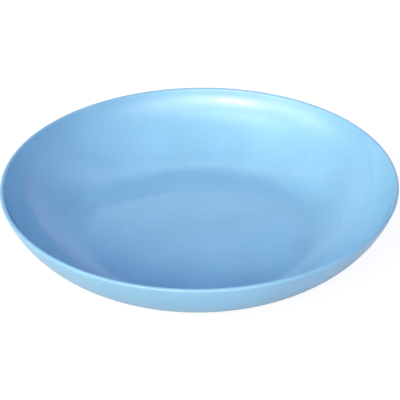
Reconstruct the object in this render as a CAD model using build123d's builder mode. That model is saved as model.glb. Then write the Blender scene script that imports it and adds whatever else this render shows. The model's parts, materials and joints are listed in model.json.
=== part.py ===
"""A round, shallow dish moulded in one piece from hard, glossy plastic.

The dish is a body of revolution about Z and stands on z = 0. From the middle outwards it has a
floor with a slight upward crown, a rounded heel, a wall that follows one large arc and steepens
towards the top, and a fully rounded lip. Floor, wall and lip have the same thickness all over,
so their section is drawn as one line of that width. A low foot ring just inside the heel carries
the dish and keeps the rest of the underside off the table.
"""

import os
from math import radians, tan

from build123d import *

# Driving dimensions, in millimetres and degrees
RIM_DIAMETER = 220.0  # over the outside of the lip
OVERALL_HEIGHT = 40.0  # from the table to the top of the lip
WALL_THICKNESS = 2.4  # of the floor, the wall and the lip
RIM_SLOPE = 69.5  # of the wall where it runs into the lip, from the horizontal
HEEL_SLOPE = 6.0  # of the wall where it leaves the floor, from the horizontal
HEEL_RADIUS = 25.0  # rounding between the floor and the wall, in the middle of the wall
FLOOR_CROWN = 1.8  # rise of the middle of the floor above its edge
FOOT_HEIGHT = 3.0  # from the table to the underside at the edge of the floor
FOOT_INSET = 2.9  # from the start of the heel in to the outer edge of the foot's tread
FOOT_TREAD = 2.4  # width of the flat that meets the table
FOOT_DRAFT = 20.0  # of both flanks of the foot ring, from the vertical
FOOT_EDGE_RADIUS = 0.5  # along both edges of the tread
FOOT_ROOT_RADIUS = 1.2  # where the flanks run into the underside

# The middle line of the floor and the wall, as points of radius and height
lip_centre = Vector(RIM_DIAMETER / 2 - WALL_THICKNESS / 2, OVERALL_HEIGHT - WALL_THICKNESS / 2)
floor_edge_height = FOOT_HEIGHT + WALL_THICKNESS / 2
wall_rise = lip_centre.Y - floor_edge_height
chord_slope = (RIM_SLOPE + HEEL_SLOPE) / 2  # the chord of an arc slopes midway between its ends
wall_run = wall_rise / tan(radians(chord_slope))
floor_edge = Vector(lip_centre.X - wall_run, floor_edge_height)
floor_middle = Vector(0, floor_edge_height + FLOOR_CROWN)

with BuildPart() as dish:
    with BuildSketch(Plane.XZ) as section:
        # Floor, wall and lip: a pen as wide as the wall follows their middle line across the floor
        # and up one side, a disc at its end rounds the lip, and what lies beyond the axis is cut off
        with BuildLine() as middle_line:
            ThreePointArc((-floor_edge.X, floor_edge.Y), floor_middle, floor_edge)
            TangentArc(floor_edge, lip_centre, tangent=Vector(1, 0).rotate(Axis.Z, HEEL_SLOPE))
            heel = middle_line.vertices().sort_by(Axis.X)[1]
            fillet(heel, HEEL_RADIUS)
        trace(line_width=WALL_THICKNESS)
        with Locations(lip_centre):
            Circle(WALL_THICKNESS / 2)
        split(bisect_by=Plane.YZ)

        # Foot ring, whose flanks run on up to the middle line
        heel_start = middle_line.vertices().sort_by(Axis.X)[1]
        tread_outside = heel_start.X - FOOT_INSET
        tread_inside = tread_outside - FOOT_TREAD
        flank_run = floor_edge_height * tan(radians(FOOT_DRAFT))
        with BuildLine():
            Polyline(
                (tread_inside, 0),
                (tread_outside, 0),
                (tread_outside + flank_run, floor_edge_height),
                (tread_inside - flank_run, floor_edge_height),
                close=True,
            )
        make_face()
        foot_roots = section.vertices(Select.LAST).sort_by(Axis.Y)[2:]
        fillet(foot_roots, FOOT_ROOT_RADIUS)
        tread_corners = section.vertices().group_by(Axis.Y)[0]
        fillet(tread_corners, FOOT_EDGE_RADIUS)
    revolve(axis=Axis.Z)

dish.part.label = "dish"

os.makedirs("parts", exist_ok=True)
export_step(dish.part, "parts/dish.step")
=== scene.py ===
"""The looks of a round, shallow, glossy plastic dish, laid out as an add-on and run as a script."""

import json
import math
from typing import NamedTuple

import bmesh
import bpy
from mathutils import Matrix, Quaternion, Vector
from mathutils.geometry import intersect_line_sphere_2d, intersect_sphere_sphere_2d


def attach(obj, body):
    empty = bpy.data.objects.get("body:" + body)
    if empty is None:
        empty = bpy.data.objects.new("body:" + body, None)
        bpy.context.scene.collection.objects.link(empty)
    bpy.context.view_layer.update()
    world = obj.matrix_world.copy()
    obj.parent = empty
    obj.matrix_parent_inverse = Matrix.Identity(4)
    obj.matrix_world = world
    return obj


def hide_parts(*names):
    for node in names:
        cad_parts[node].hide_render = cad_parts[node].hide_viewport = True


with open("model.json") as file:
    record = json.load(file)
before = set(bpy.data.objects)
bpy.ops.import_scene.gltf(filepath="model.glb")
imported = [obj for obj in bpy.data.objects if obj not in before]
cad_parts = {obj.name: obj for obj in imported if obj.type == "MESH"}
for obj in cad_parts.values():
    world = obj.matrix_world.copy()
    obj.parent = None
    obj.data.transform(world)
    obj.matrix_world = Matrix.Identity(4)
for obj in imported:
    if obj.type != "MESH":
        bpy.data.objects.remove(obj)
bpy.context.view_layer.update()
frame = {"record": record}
DIAMETER, _, HEIGHT = frame["record"]["size"]["bbox_m"]

bl_info = {
    "name": "Moulded Dish",
    "version": (1, 0, 0),
    "blender": (4, 5, 0),
    "location": "3D View > Sidebar > Dish",
    "description": "Models a round, shallow, moulded plastic dish and the studio that it stands in",
    "category": "Add Mesh",
}

FULL_TURN = 2 * math.pi
WELD_DISTANCE = 2e-6  # metres

# Steps along the arcs of the section
FLOOR_STEPS = 16
HEEL_STEPS = 8
WALL_STEPS = 32
LIP_STEPS = 16
FOOT_STEPS = 4

# Plastic: lengths in metres
CLOUD_GRAIN = 0.03
POWDER_GRAIN = 0.0025
CLOUD_WEIGHT = 2  # of the clouds in the colour, where that of the powder's grain is 1
SMEAR_GRAIN = 0.04
RIPPLE_GRAIN = 0.012
PLASTIC_IOR = 1.5
BUFFED_BAND = (0.0006, 0.0001)  # where the buffed line on the lip begins and is full, in from its outside
BUFFED_ROUGHNESS = 0.04  # added to that of the polish

# Specks: places and sizes
SPECKS = (((-0.0168, -0.0314, 0.0066), 0.0005), ((0.0792, 0.0057, 0.0094), 0.0005))
SPECK_COLOUR = (0.04, 0.06, 0.09, 1)
SPECK_STRENGTH = 0.8
SPECK_CORE = 0.5  # share of a speck's size that is full, before it fades

# Underside and tread
UNDERSIDE_RIM = (0.0595, 0.0605)  # radii between which the dull underside turns to polish
UNDER_FLOOR = (0.0005, 0.0003)  # depths under the top of the floor's edge, between which the underside ends
TREAD_REACH = (0.15, 0.8)  # heights that the wear fades between, as shares of the foot's edge radius
SCUFF_GRAIN = 0.0008
SCUFF_LEVELS = (0.3, 0.6)  # levels of the noise between which the tread turns from smooth to scuffed
SCUFF_DEPTH = 0.00002
WORN_PALENESS = 1.3  # of the colour of worn plastic, where that of the rest is 1
WORN_FADING = 0.3  # how far the worn colour shows

# Floor
FLOOR_SIZE = 20  # metres
WHITE = (1, 1, 1, 1)
PAPER = (0.61, 0.67, 0.73, 1)  # as it lights the dish, a little cool
PAPER_SHADING = (0.25, 0.25, 0.25, 1)  # as it is seen: the part that keeps the shadow
PAPER_GLOW = 0.85  # as it is seen: what brings it up to white
PAINTED_SHADE_RIM = (0.07, 0.16)  # radii between which the paper's glow in reflections fades in, from none close to the dish: painted shade round the dish, over the paper's real shadow


# Properties: the sizes, finish and light that a user would change


class DishSizes(bpy.types.PropertyGroup):
    """The section of the dish, from the middle of the floor to the lip."""

    rim_diameter: bpy.props.FloatProperty(
        name="Rim diameter",
        description="Over the outside of the lip",
        default=DIAMETER,
        precision=4,
        unit="LENGTH",
    )
    height: bpy.props.FloatProperty(
        name="Height",
        description="From the table to the top of the lip",
        default=HEIGHT,
        precision=4,
        unit="LENGTH",
    )
    wall: bpy.props.FloatProperty(
        name="Wall",
        description="Thickness of the floor, the wall and the lip",
        default=0.0024,
        precision=4,
        unit="LENGTH",
    )
    rim_slope: bpy.props.FloatProperty(
        name="Rim slope",
        description="Slope of the wall where it runs into the lip",
        default=math.radians(69.5),
        unit="ROTATION",
    )
    heel_slope: bpy.props.FloatProperty(
        name="Heel slope",
        description="Slope of the wall where it leaves the floor",
        default=math.radians(6),
        unit="ROTATION",
    )
    heel_radius: bpy.props.FloatProperty(
        name="Heel radius",
        description="Rounding between the floor and the wall, in the middle of the wall",
        default=0.025,
        precision=4,
        unit="LENGTH",
    )
    floor_crown: bpy.props.FloatProperty(
        name="Floor crown",
        description="Rise of the middle of the floor above its edge",
        default=0.0018,
        precision=4,
        unit="LENGTH",
    )
    foot_height: bpy.props.FloatProperty(
        name="Foot height",
        description="From the table to the underside at the edge of the floor",
        default=0.003,
        precision=4,
        unit="LENGTH",
    )
    foot_inset: bpy.props.FloatProperty(
        name="Foot inset",
        description="From the start of the heel in to the outer edge of the foot's tread",
        default=0.0029,
        precision=4,
        unit="LENGTH",
    )
    foot_tread: bpy.props.FloatProperty(
        name="Foot tread",
        description="Width of the flat that meets the table",
        default=0.0024,
        precision=4,
        unit="LENGTH",
    )
    foot_draft: bpy.props.FloatProperty(
        name="Foot draft",
        description="Slope of the foot's flanks from the vertical",
        default=math.radians(20),
        unit="ROTATION",
    )
    foot_edge: bpy.props.FloatProperty(
        name="Foot edge radius",
        description="Rounding along both edges of the tread",
        default=0.0005,
        precision=4,
        unit="LENGTH",
    )
    foot_root: bpy.props.FloatProperty(
        name="Foot root radius",
        description="Rounding where the foot's flanks run into the underside",
        default=0.0012,
        precision=4,
        unit="LENGTH",
    )
    segments: bpy.props.IntProperty(
        name="Segments",
        description="Number of steps round the dish",
        default=256,
        min=32,
    )


class DishFinish(bpy.types.PropertyGroup):
    """The moulded plastic."""

    colour: bpy.props.FloatVectorProperty(
        name="Colour",
        description="Colour of the plastic",
        subtype="COLOR",
        default=(0.267, 0.531, 0.786),
    )
    clouding: bpy.props.FloatProperty(
        name="Clouding",
        description="How far the colour varies from place to place",
        subtype="FACTOR",
        default=0.04,
    )
    polish_roughness: bpy.props.FloatProperty(
        name="Polish",
        description="Roughness of the polished inside and outside",
        subtype="FACTOR",
        default=0.03,
    )
    underside_roughness: bpy.props.FloatProperty(
        name="Underside",
        description="Roughness within the foot ring",
        subtype="FACTOR",
        default=0.2,
    )
    worn_roughness: bpy.props.FloatProperty(
        name="Worn foot",
        description="Roughness of the foot's tread, which slides over tables",
        subtype="FACTOR",
        default=0.5,
    )
    ripple: bpy.props.FloatProperty(
        name="Ripple",
        description="Height of the long, faint waves in the polish",
        default=0.000006,
        precision=6,
        unit="LENGTH",
    )


class StageSettings(bpy.types.PropertyGroup):
    """The camera, the light and the floor."""

    camera_distance: bpy.props.FloatProperty(
        name="Camera distance",
        description="From the middle of the rim",
        default=0.935,
        unit="LENGTH",
    )
    camera_elevation: bpy.props.FloatProperty(
        name="Camera elevation",
        description="Angle above the rim at which the camera stands",
        default=math.radians(30.5),
        unit="ROTATION",
    )
    camera_roll: bpy.props.FloatProperty(
        name="Camera roll",
        description="Tilt of the camera about its own line of sight",
        default=math.radians(-0.65),
        unit="ROTATION",
    )
    camera_aim: bpy.props.FloatVectorProperty(
        name="Camera aim",
        description="Point that the camera looks at",
        default=(0.0003, 0, 0.0261),
        unit="LENGTH",
    )
    lens: bpy.props.FloatProperty(
        name="Lens",
        description="Focal length in millimetres",
        default=152,
        unit="CAMERA",
    )
    sky: bpy.props.FloatVectorProperty(
        name="Room light",
        description="Light that comes evenly from all round",
        subtype="COLOR",
        default=(0, 0.01, 0.165),
    )
    glow_level: bpy.props.FloatProperty(
        name="Glow level",
        description="Strength of the soft glows round the dish",
        default=1,
    )


# Shader nodes


class Value:
    """What a shader node puts out. Python's operators on it add Math nodes."""

    def __init__(self, bench, socket):
        self.bench = bench
        self.socket = socket

    def output(self, name):
        """Hands on another output of the same node."""
        return Value(self.bench, self.socket.node.outputs[name])

    def __add__(self, other):
        return self.bench.maths("ADD", self, other)

    def __sub__(self, other):
        return self.bench.maths("SUBTRACT", self, other)

    def __rsub__(self, other):
        return self.bench.maths("SUBTRACT", other, self)

    def __mul__(self, other):
        return self.bench.maths("MULTIPLY", self, other)

    def __truediv__(self, other):
        return self.bench.maths("DIVIDE", self, other)

    def __pow__(self, other):
        return self.bench.maths("POWER", self, other)

    __radd__ = __add__
    __rmul__ = __mul__


class Bench:
    """The node tree of a material or a world, where its nodes are put together."""

    def __init__(self, owner):
        owner.use_nodes = True
        self.tree = owner.node_tree
        self.tree.nodes.clear()

    def node(self, kind, settings, sockets, output=0):
        """Adds a node with these settings and socket values or links, and hands on one of its outputs."""
        node = self.tree.nodes.new("ShaderNode" + kind)
        for name, setting in settings.items():
            setattr(node, name, setting)
        for name, value in sockets.items():
            if isinstance(value, Value):
                self.tree.links.new(value.socket, node.inputs[name])
            else:
                node.inputs[name].default_value = value
        return None if output is None else Value(self, node.outputs[output])

    def maths(self, operation, *operands):
        return self.node("Math", {"operation": operation}, dict(enumerate(operands)))

    def vector_maths(self, operation, *operands, output="Vector"):
        return self.node("VectorMath", {"operation": operation}, dict(enumerate(operands)), output)

    def blend(self, factor, first, second):
        """Mixes two colours: the second where the factor is 1."""
        # The node has like-named sockets for each type of data, so those for colours go by number
        return self.node("Mix", {"data_type": "RGBA"}, {0: factor, 6: first, 7: second}, 2)

    def noise(self, place, grain, detail=2):
        """Smooth noise from 0 to 1, with lumps about as large as the grain."""
        return self.node("TexNoise", {}, {"Vector": place, "Scale": 1 / grain, "Detail": detail})

    def rise(self, value, low, high):
        """Goes smoothly from 0 where the value is low to 1 where it is high."""
        limits = {"Value": value, "From Min": low, "From Max": high}
        return self.node("MapRange", {"interpolation_type": "SMOOTHSTEP"}, limits)


def shade(colour, level):
    """A colour times a level, as a colour socket takes it."""
    return (*(part * level for part in colour), 1)


def moulded_plastic(finish, sizes):
    """Hard, polished plastic: faintly clouded, with two dark specks, a dull underside and a worn foot."""
    material = bpy.data.materials.new("blue_plastic")
    bench = Bench(material)
    place = bench.node("TexCoord", {}, {}, "Object")
    height = bench.node("SeparateXYZ", {}, {0: place}, "Z")
    level = bench.vector_maths("MULTIPLY", place, (1, 1, 0))
    radius = bench.vector_maths("LENGTH", level, output="Value")

    # Where the foot ring's tread and the underside are
    tread = 1 - bench.rise(height, *(share * sizes.foot_edge for share in TREAD_REACH))
    floor_top = sizes.foot_height + sizes.wall
    under_floor = 1 - bench.rise(height, *(floor_top - depth for depth in UNDER_FLOOR))
    underside = under_floor * (1 - bench.rise(radius, *UNDERSIDE_RIM))
    scuffs = bench.noise(place, SCUFF_GRAIN, detail=4)
    wear = tread * bench.rise(scuffs, *SCUFF_LEVELS)

    # Colour: large clouds and a fine grain in the moulding powder, worn paler on the tread
    clouds = bench.noise(place, CLOUD_GRAIN) - 0.5
    grain = bench.noise(place, POWDER_GRAIN) - 0.5
    tone = 0.5 + clouds * CLOUD_WEIGHT + grain
    colour = bench.blend(
        bench.rise(tone, 0, 1),
        shade(finish.colour, 1 - finish.clouding),
        shade(finish.colour, 1 + finish.clouding),
    )
    colour = bench.blend(wear * WORN_FADING, colour, shade(finish.colour, WORN_PALENESS))
    for spot, size in SPECKS:
        gap = bench.vector_maths("DISTANCE", place, spot, output="Value")
        speck = 1 - bench.rise(gap, SPECK_CORE * size, size)
        colour = bench.blend(speck * SPECK_STRENGTH, colour, SPECK_COLOUR)

    # Polish: it varies a little, and is duller where the lip was buffed, underneath and on the tread
    smears = bench.noise(place, SMEAR_GRAIN, detail=3) - 0.5
    polish = finish.polish_roughness * (1 + smears)
    buffed = bench.rise(radius, *(sizes.rim_diameter / 2 - inset for inset in BUFFED_BAND))
    roughness = polish + buffed * BUFFED_ROUGHNESS
    roughness = roughness + underside * (finish.underside_roughness - polish)
    roughness = roughness + wear * (finish.worn_roughness - polish)

    # Relief: long waves in the polish, and scuffs on the tread
    waves = bench.noise(place, RIPPLE_GRAIN, detail=1)
    bump = bench.node("Bump", {}, {"Height": waves, "Distance": finish.ripple}, "Normal")
    bump = bench.node(
        "Bump", {}, {"Height": wear * scuffs, "Distance": SCUFF_DEPTH, "Normal": bump}, "Normal"
    )
    look = {"Base Color": colour, "Roughness": roughness, "IOR": PLASTIC_IOR, "Normal": bump}
    surface = bench.node("BsdfPrincipled", {}, look)
    bench.node("OutputMaterial", {}, {"Surface": surface}, None)
    return material


def studio_paper():
    """White paper for the floor, which looks white to the camera and in reflections, and keeps the shadow.

    Close to the dish its flank mirrors the paper without its glow, as it is in the shade of the rim; the
    glow fades out by the distance from the dish's axis, which is painted shade round the dish.
    """
    material = bpy.data.materials.new("studio_paper")
    bench = Bench(material)
    place = bench.node("TexCoord", {}, {}, "Object")
    radius = bench.vector_maths("LENGTH", place, output="Value")
    camera_ray = bench.node("LightPath", {}, {}, "Is Camera Ray")
    # In reflections the glow fades out towards the dish by distance from its axis: painted shade round the
    # dish, over the paper's real shadow
    mirrored_glow_with_painted_shade = camera_ray.output("Is Glossy Ray") * bench.rise(radius, *PAINTED_SHADE_RIM)
    seen = camera_ray + mirrored_glow_with_painted_shade + camera_ray.output("Is Transmission Ray")
    paper = bench.node("BsdfDiffuse", {}, {"Color": PAPER})
    lit = bench.node("BsdfDiffuse", {}, {"Color": PAPER_SHADING})
    glow = bench.node("Emission", {}, {"Color": WHITE, "Strength": PAPER_GLOW})
    white = bench.node("AddShader", {}, {0: lit, 1: glow})
    surface = bench.node("MixShader", {}, {0: seen, 1: paper, 2: white})
    bench.node("OutputMaterial", {}, {"Surface": surface}, None)
    material.cycles.emission_sampling = "NONE"  # the glow is seen, and lights nothing
    return material


class Glow(NamedTuple):
    """A soft glow in the room, such as a window or a bright wall, seen from the dish.

    Azimuths run from the camera's side round to the right, and all angles are in degrees. The colour
    holds the strength.
    """

    azimuth: float
    elevation: float
    half_width: float
    half_height: float
    colour: tuple

    def aim(self):
        azimuth = math.radians(self.azimuth)
        elevation = math.radians(self.elevation)
        level = Vector((math.sin(azimuth), -math.cos(azimuth), 0))
        return level * math.cos(elevation) + Vector((0, 0, math.sin(elevation)))


# Azimuth, elevation, half-width, half-height, and colour times strength
GLOWS = (
    Glow(-16, 26.5, 22, 7, (8.3, 7.3, 4.9)),  # window, its bright middle
    Glow(-28, 25.5, 12, 5, (7, 3.9, 0.3)),  # window, its left edge
    Glow(-16, 25.5, 4, 1.7, (7.5, 5.5, 4.5)),  # window, a hot spot
    Glow(-14, 43, 40, 12, (1.9, 2.1, 2.1)),  # wall above the window
    Glow(-20, 43, 20, 8, (1.3, 1.4, 1.4)),  # wall above the window, its middle
    Glow(-50, 42, 20, 9, (1.6, 1.8, 1.7)),  # wall above the window, on the left
    Glow(20, 27.5, 22, 10, (3.3, 3.5, 3.4)),  # wall right of the window
    Glow(-59, 20, 27, 10, (4.7, 4.7, 3.2)),  # wall left of the window
    Glow(-87, 62, 31, 13, (0.5, 0.7, 0.8)),  # ceiling on the left
    Glow(180, 62, 40, 8, (0.9, 1.05, 1.1)),  # ceiling at the back
    Glow(180, 26, 30, 8, (0.6, 0.7, 0.67)),  # far wall
    Glow(148, 13, 32, 13, (0.75, 0.73, 0.74)),  # far wall on the right
    Glow(-145, 17, 30, 13, (0.57, 0.7, 0.7)),  # far wall on the left
)


def studio_room(stage):
    """The light of the room: an even part and soft glows, each with smooth edges."""
    world = bpy.data.worlds.new("studio_room")
    bench = Bench(world)
    view = bench.node("TexCoord", {}, {}, "Generated")
    light = tuple(stage.sky)
    for glow in GLOWS:
        aim = glow.aim()
        right = Vector((-aim.y, aim.x, 0)).normalized()
        up = right.cross(aim)
        ahead, sideways, upward = (
            bench.vector_maths("DOT_PRODUCT", view, axis, output="Value") for axis in (aim, right, up)
        )
        across = bench.maths("ARCTAN2", sideways, ahead) / math.radians(glow.half_width)
        along = bench.maths("ARCSINE", upward) / math.radians(glow.half_height)
        strength = bench.maths("EXPONENT", (across**2 + along**2) * -1) * stage.glow_level
        light = bench.vector_maths("MULTIPLY_ADD", strength, glow.colour, light)
    background = bench.node("Background", {}, {"Color": light})
    bench.node("OutputWorld", {}, {"Surface": background}, None)
    return world


# Modelling


def deselect_all():
    """Leaves nothing selected, so that the next operator acts on what it adds."""
    if bpy.context.object is not None and bpy.context.object.mode == "EDIT":
        bpy.ops.object.mode_set(mode="OBJECT")
    bpy.ops.object.select_all(action="DESELECT")


class SectionPen:
    """Draws a section in the XZ plane as one chain of edges, by extruding and spinning its last vertex.

    Places are pairs of radius and height, and the heading is an angle up from +X.
    """

    def __init__(self, start, heading):
        self.place = Vector(start)
        self.heading = heading

        # The first vertex is a plane merged into its middle
        deselect_all()
        bpy.ops.mesh.primitive_plane_add(size=self.place.length, enter_editmode=True)
        bpy.ops.mesh.select_mode(type="VERT")
        bpy.ops.mesh.merge(type="CENTER")
        bpy.ops.transform.translate(value=(self.place.x, 0, self.place.y))

    def line_to(self, place):
        """Draws a straight edge, and heads the way that it ran."""
        step = Vector(place) - self.place
        bpy.ops.mesh.extrude_region_move(TRANSFORM_OT_translate={"value": (step.x, 0, step.y)})
        self.place = Vector(place)
        self.heading = math.atan2(step.y, step.x)

    def arc(self, radius, turn, steps):
        """Draws an arc that leaves along the heading: a positive turn bends to the left."""
        to_centre = Vector((-math.sin(self.heading), math.cos(self.heading))) * math.copysign(radius, turn)
        centre = self.place + to_centre
        bpy.ops.mesh.spin(
            steps=steps, angle=turn, center=(centre.x, 0, centre.y), axis=(0, 1, 0), use_auto_merge=False
        )
        to_centre.rotate(Matrix.Rotation(turn, 2))
        self.place = centre - to_centre
        self.heading += turn


class SectionPlan:
    """Where the arcs and corners of the dish's section lie, worked out from its sizes.

    A slope is an angle from the horizontal. The arcs are those of the wall's middle line.
    """

    def __init__(self, sizes):
        self.half_wall = sizes.wall / 2
        self.rim_slope = sizes.rim_slope
        lip = Vector((sizes.rim_diameter / 2 - self.half_wall, sizes.height - self.half_wall))
        edge_height = sizes.foot_height + self.half_wall
        wall_rise = lip.y - edge_height

        # The wall is one arc from the edge of the floor to the lip
        chord_slope = (sizes.rim_slope + sizes.heel_slope) / 2
        half_turn = (sizes.rim_slope - sizes.heel_slope) / 2
        self.wall_radius = wall_rise / math.sin(chord_slope) / (2 * math.sin(half_turn))
        inward = Vector((-math.sin(sizes.rim_slope), math.cos(sizes.rim_slope)))
        wall_centre = lip + self.wall_radius * inward

        # The floor is the cap of a large sphere, which falls by the crown from its middle to its edge
        edge_radius = lip.x - wall_rise / math.tan(chord_slope)
        self.floor_radius = (edge_radius**2 + sizes.floor_crown**2) / (2 * sizes.floor_crown)
        floor_centre = Vector((0, edge_height + sizes.floor_crown - self.floor_radius))
        self.floor_middle = floor_centre + Vector((0, self.floor_radius))

        # The heel touches the floor from above and the wall from inside
        self.heel_radius = sizes.heel_radius
        heel_centre = max(
            intersect_sphere_sphere_2d(
                floor_centre,
                self.floor_radius + self.heel_radius,
                wall_centre,
                self.wall_radius - self.heel_radius,
            ),
            key=lambda point: point.x,
        )
        to_heel = heel_centre - floor_centre
        self.floor_slope = math.atan2(to_heel.x, to_heel.y)
        to_heel = heel_centre - wall_centre
        self.wall_slope = math.atan2(to_heel.x, -to_heel.y)

        # The foot's flanks run up from its tread to the underside of the floor
        self.under_radius = self.floor_radius - self.half_wall
        heel_start = self.floor_radius * math.sin(self.floor_slope)
        tread_outside = Vector((heel_start - sizes.foot_inset, 0))
        tread_inside = tread_outside - Vector((sizes.foot_tread, 0))
        self.tread = tread_outside, tread_inside
        self.roots = []
        for corner, lean in ((tread_outside, 1), (tread_inside, -1)):
            flank = Vector((lean * math.sin(sizes.foot_draft), math.cos(sizes.foot_draft)))
            hits = intersect_line_sphere_2d(corner, corner + flank, floor_centre, self.under_radius, False)
            self.roots.append(max(hits, key=lambda point: point.y))
        self.root_slopes = [math.asin(root.x / self.under_radius) for root in self.roots]
        self.flank_turn = math.pi / 2 - sizes.foot_draft


def draw_section(plan):
    """Draws the section from the middle of the floor over the lip to the middle of the underside."""
    half_wall = plan.half_wall
    heel_turn = plan.floor_slope + plan.wall_slope
    wall_turn = plan.rim_slope - plan.wall_slope
    pen = SectionPen(plan.floor_middle + Vector((0, half_wall)), 0)
    pen.arc(plan.floor_radius + half_wall, -plan.floor_slope, FLOOR_STEPS)
    pen.arc(plan.heel_radius - half_wall, heel_turn, HEEL_STEPS)
    pen.arc(plan.wall_radius - half_wall, wall_turn, WALL_STEPS)
    pen.arc(half_wall, -math.pi, LIP_STEPS)
    pen.arc(plan.wall_radius + half_wall, -wall_turn, WALL_STEPS)
    pen.arc(plan.heel_radius + half_wall, -heel_turn, HEEL_STEPS)
    outer_slope, inner_slope = plan.root_slopes
    pen.arc(plan.under_radius, plan.floor_slope - outer_slope, 1)
    for corner in (*plan.tread, plan.roots[1]):
        pen.line_to(corner)
    pen.heading = math.pi - inner_slope
    pen.arc(plan.under_radius, inner_slope, FLOOR_STEPS)


def round_corners(corners, radius, turn, segments):
    """Rounds the section's corners at these pairs of radius and height."""
    mesh = bpy.context.object.data
    section = bmesh.from_edit_mesh(mesh)
    for vertex in section.verts:
        vertex.select_set(any((vertex.co.xz - corner).length < WELD_DISTANCE for corner in corners))
    section.select_flush_mode()
    bmesh.update_edit_mesh(mesh)
    bpy.ops.mesh.bevel(
        affect="VERTICES", offset_type="OFFSET", offset=radius * math.tan(turn / 2), segments=segments
    )


class DISH_OT_mould(bpy.types.Operator):
    """Model the dish: draw its section and spin it round"""

    bl_idname = "dish.mould"
    bl_label = "Mould the Dish"
    bl_options = {"REGISTER", "UNDO"}

    def execute(self, context):
        sizes = context.scene.dish_sizes
        plan = SectionPlan(sizes)
        draw_section(plan)
        round_corners(plan.tread, sizes.foot_edge, plan.flank_turn, FOOT_STEPS)
        round_corners(plan.roots, sizes.foot_root, plan.flank_turn, FOOT_STEPS)

        # A full spin leaves a seam and two poles, whose vertices are then merged
        bpy.ops.mesh.select_all(action="SELECT")
        bpy.ops.mesh.spin(steps=sizes.segments, angle=FULL_TURN, center=(0, 0, 0), axis=(0, 0, 1))
        bpy.ops.mesh.select_all(action="SELECT")
        bpy.ops.mesh.remove_doubles(threshold=WELD_DISTANCE)
        bpy.ops.mesh.normals_make_consistent(inside=False)
        bpy.ops.object.mode_set(mode="OBJECT")

        dish = context.object
        dish.name = "dish_body"
        dish.data.name = "dish_body"
        bpy.ops.object.transform_apply(location=True, rotation=True, scale=True)
        bpy.ops.object.shade_smooth()
        dish.data.materials.append(moulded_plastic(context.scene.dish_finish, sizes))
        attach(dish, "root")
        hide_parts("dish")
        return {"FINISHED"}


class DISH_OT_stage(bpy.types.Operator):
    """Set the dish on a pale floor, with its light and its camera"""

    bl_idname = "dish.stage"
    bl_label = "Set the Stage"
    bl_options = {"REGISTER", "UNDO"}

    def execute(self, context):
        stage = context.scene.dish_stage
        sizes = context.scene.dish_sizes
        deselect_all()
        bpy.ops.mesh.primitive_plane_add(size=FLOOR_SIZE)
        floor = context.object
        floor.name = "floor"
        floor.data.materials.append(studio_paper())

        rim = Vector((0, 0, sizes.height - sizes.wall / 2))
        back = Vector((0, -math.cos(stage.camera_elevation), math.sin(stage.camera_elevation)))
        place = rim + back * stage.camera_distance
        bpy.ops.object.camera_add(location=place)
        camera = context.object
        camera.rotation_mode = "QUATERNION"
        look = (Vector(stage.camera_aim) - place).to_track_quat("-Z", "Y")
        camera.rotation_quaternion = look @ Quaternion((0, 0, 1), stage.camera_roll)
        camera.data.lens = stage.lens
        context.scene.camera = camera

        context.scene.world = studio_room(stage)

        context.scene.view_settings.view_transform = "Standard"
        return {"FINISHED"}


class DISH_PT_tools(bpy.types.Panel):
    """The dish's settings and the buttons that model it and set its stage"""

    bl_idname = "DISH_PT_tools"
    bl_label = "Moulded Dish"
    bl_space_type = "VIEW_3D"
    bl_region_type = "UI"
    bl_category = "Dish"

    def draw(self, context):
        scene = context.scene
        for title, settings, operator in (
            ("Sizes", scene.dish_sizes, None),
            ("Finish", scene.dish_finish, DISH_OT_mould.bl_idname),
            ("Stage", scene.dish_stage, DISH_OT_stage.bl_idname),
        ):
            box = self.layout.box()
            box.label(text=title)
            for name in settings.__annotations__:
                box.prop(settings, name)
            if operator is not None:
                box.operator(operator)


CLASSES = (DishSizes, DishFinish, StageSettings, DISH_OT_mould, DISH_OT_stage, DISH_PT_tools)


def register():
    for each in CLASSES:
        bpy.utils.register_class(each)
    bpy.types.Scene.dish_sizes = bpy.props.PointerProperty(type=DishSizes)
    bpy.types.Scene.dish_finish = bpy.props.PointerProperty(type=DishFinish)
    bpy.types.Scene.dish_stage = bpy.props.PointerProperty(type=StageSettings)


def unregister():
    del bpy.types.Scene.dish_stage
    del bpy.types.Scene.dish_finish
    del bpy.types.Scene.dish_sizes
    for each in reversed(CLASSES):
        bpy.utils.unregister_class(each)


def main():
    register()
    bpy.ops.dish.mould()
    bpy.ops.dish.stage()


if __name__ == "__main__":
    main()
